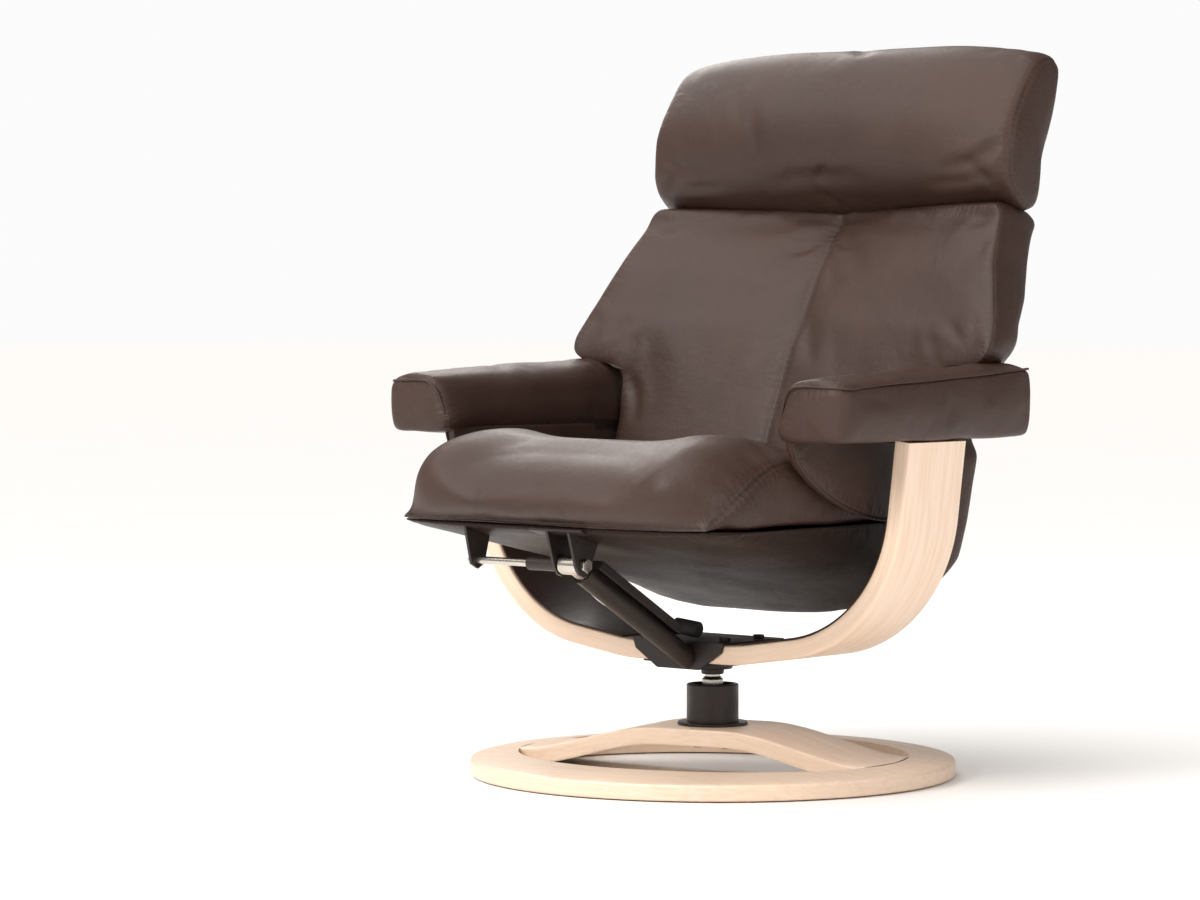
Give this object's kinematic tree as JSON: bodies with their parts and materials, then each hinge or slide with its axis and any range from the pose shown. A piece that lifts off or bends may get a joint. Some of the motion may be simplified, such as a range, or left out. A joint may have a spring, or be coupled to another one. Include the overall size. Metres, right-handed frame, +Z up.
{
  "type": "reclining swivel armchair",
  "caption": "Reclining swivel armchair in padded brown leather on a bent-wood U frame and a round bent-wood floor ring, with an adjustable headrest and a sliding seat linkage.",
  "frame": {"origin": "on the floor, on the swivel axis", "axes": "+Z up along the swivel axis, -Y towards the front of the chair, +X towards the sitter's left"},
  "size_m": [0.79, 0.6964, 0.9709],
  "materials": {
    "birch_ply": "clear satin lacquer on pale birch laminate",
    "core_ply": "raw plywood, hidden under the leather",
    "black_steel": "satin black-brown powder coat",
    "zinc_steel": "bright zinc plate",
    "brown_leather": "semi-gloss pigmented dark brown leather, fine grain",
    "black_cloth": "matt black lining cloth",
    "black_plastic": "matt black moulded plastic",
    "black_rubber": "matt black rubber"
  },
  "bodies": {
    "base": {"floor_glide_1": "black_plastic", "floor_glide_2": "black_plastic", "floor_glide_3": "black_plastic", "floor_glide_4": "black_plastic", "base_ring": "birch_ply", "base_bridge": "birch_ply", "crown_plate": "black_steel", "column_cup": "black_steel", "crown_bolt_1": "black_steel", "crown_bolt_2": "black_steel", "bearing_bush": "black_plastic"},
    "chassis": {"leg_frame": "birch_ply", "under_plate": "black_steel", "centre_bracket": "black_steel", "bracket_bolt_1": "black_steel", "bracket_bolt_2": "black_steel", "bracket_bolt_3": "black_steel", "bracket_bolt_4": "black_steel", "swivel_hub": "black_steel", "swivel_spindle": "zinc_steel", "glide_tube": "black_steel", "lock_bar": "black_steel", "stop_buffer": "black_rubber", "leg_liner_left": "brown_leather", "leg_liner_right": "brown_leather", "arm_board_left": "core_ply", "arm_board_right": "core_ply", "arm_bolt_left": "zinc_steel", "arm_bolt_right": "zinc_steel", "armrest_left": "brown_leather", "armrest_right": "brown_leather", "arm_panel_left": "brown_leather", "arm_panel_right": "brown_leather", "pivot_plate_left": "black_steel", "pivot_plate_right": "black_steel"},
    "glide": {"glide_rod": "zinc_steel"},
    "seat": {"seat_cushion": "brown_leather", "seat_pan": "black_cloth", "seat_frame": "black_steel", "seat_spring": "zinc_steel", "front_fork": "black_steel", "front_shaft": "zinc_steel", "shaft_sleeve": "black_steel", "shaft_lug": "black_steel"},
    "backrest": {"back_cushion": "brown_leather", "back_cover": "brown_leather", "back_frame": "black_steel", "back_webbing": "black_cloth", "recline_bolt_left": "zinc_steel", "recline_bolt_right": "zinc_steel", "seat_bolt_left": "zinc_steel", "seat_bolt_right": "zinc_steel", "headrest_guide_left": "black_plastic", "headrest_guide_right": "black_plastic", "guide_plate": "black_steel"},
    "headrest_slide": {"headrest_posts": "zinc_steel"},
    "headrest": {"headrest_barrel": "black_steel", "headrest_board": "core_ply", "headrest_cushion": "brown_leather", "headrest_cover": "brown_leather"}
  },
  "joints": [
    {"name": "swivel", "type": "hinge", "parent": "base", "child": "chassis", "pos_m": [0, 0, 0], "axis": [0, 0, 1], "continuous": true},
    {"name": "recline", "type": "hinge", "parent": "chassis", "child": "backrest", "pos_m": [0, 0.185, 0.47], "axis": [-1, 0, 0], "range_deg": [0, 18]},
    {"name": "seat_hinge", "type": "hinge", "parent": "backrest", "child": "seat", "pos_m": [0, 0.15, 0.32], "axis": [1, 0, 0], "range_deg": [0, 16.8]},
    {"name": "glide_slide", "type": "slide", "parent": "chassis", "child": "glide", "axis": [0, -0.8621, 0.5068], "range_m": [0, 0.0532]},
    {"name": "headrest_height", "type": "slide", "parent": "backrest", "child": "headrest_slide", "axis": [0, 0.3256, 0.9455], "range_m": [0, 0.06]},
    {"name": "headrest_tilt", "type": "hinge", "parent": "headrest_slide", "child": "headrest", "pos_m": [0, 0.2925, 0.79], "axis": [1, 0, 0], "range_deg": [-5, 20]}
  ],
  "couplings": [
    {"joint": "seat_hinge", "follows": "recline", "ratio": 0.93},
    {"joint": "glide_slide", "follows": "recline", "m_per_rad": 0.1685}
  ]
}
